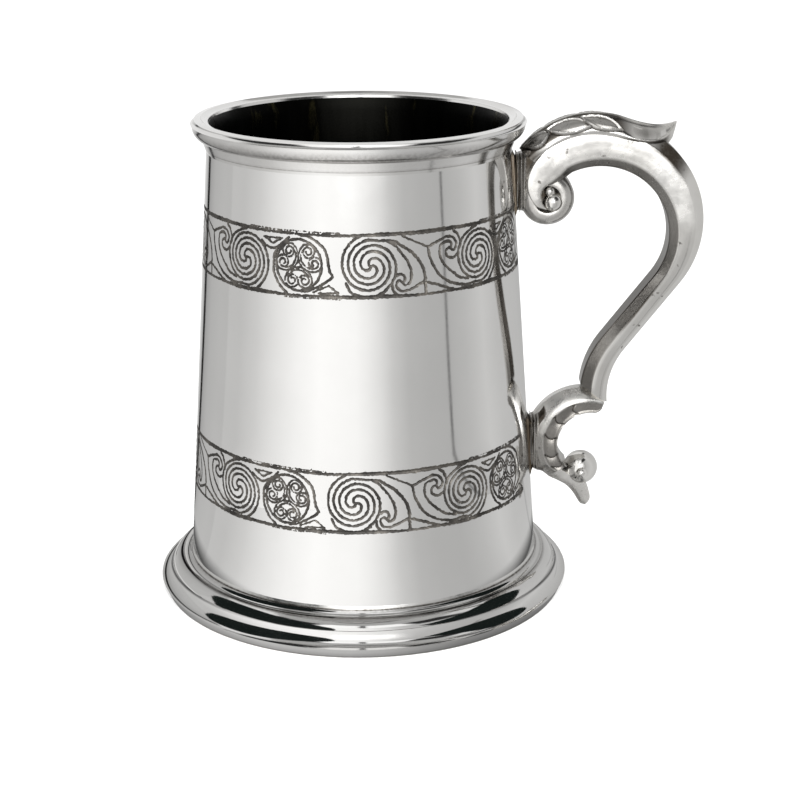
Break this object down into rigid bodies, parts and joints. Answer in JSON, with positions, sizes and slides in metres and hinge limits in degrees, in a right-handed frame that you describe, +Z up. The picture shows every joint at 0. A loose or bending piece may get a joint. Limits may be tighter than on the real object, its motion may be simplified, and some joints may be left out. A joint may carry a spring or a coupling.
{
  "type": "tankard",
  "caption": "Tapered one-pint pewter tankard with a rolled lip ring, a spread foot ring, two engraved bands and a cast double-scroll handle.",
  "frame": {"origin": "on the surface the tankard stands on, under the middle of the foot, on the axis of the drum", "axes": "+Z up along the drum's axis, +X outwards through the handle"},
  "size_m": [0.1391, 0.1068, 0.1222],
  "materials": {
    "drum_metal": "hand-polished pewter, mirror bright, with two engraved bands whose lines hold dark patina",
    "ring_metal": "turned and polished pewter, mirror bright, with dark patina in the mouldings",
    "inside_metal": "turned pewter plate, dull grey",
    "cast_metal": "satin cast pewter with brown-black patina in the recesses",
    "solder_metal": "tin solder, dull and darkened"
  },
  "bodies": {
    "root": {"drum": "drum_metal", "lip_ring": "ring_metal", "foot_ring": "ring_metal", "bottom_plate": "inside_metal", "handle": "cast_metal", "upper_saddle": "cast_metal", "lower_saddle": "cast_metal", "lip_solder": "solder_metal", "foot_solder": "solder_metal", "plate_solder": "solder_metal", "upper_saddle_solder": "solder_metal", "lower_saddle_solder": "solder_metal", "upper_handle_solder": "solder_metal", "lower_handle_solder": "solder_metal"}
  },
  "joints": []
}
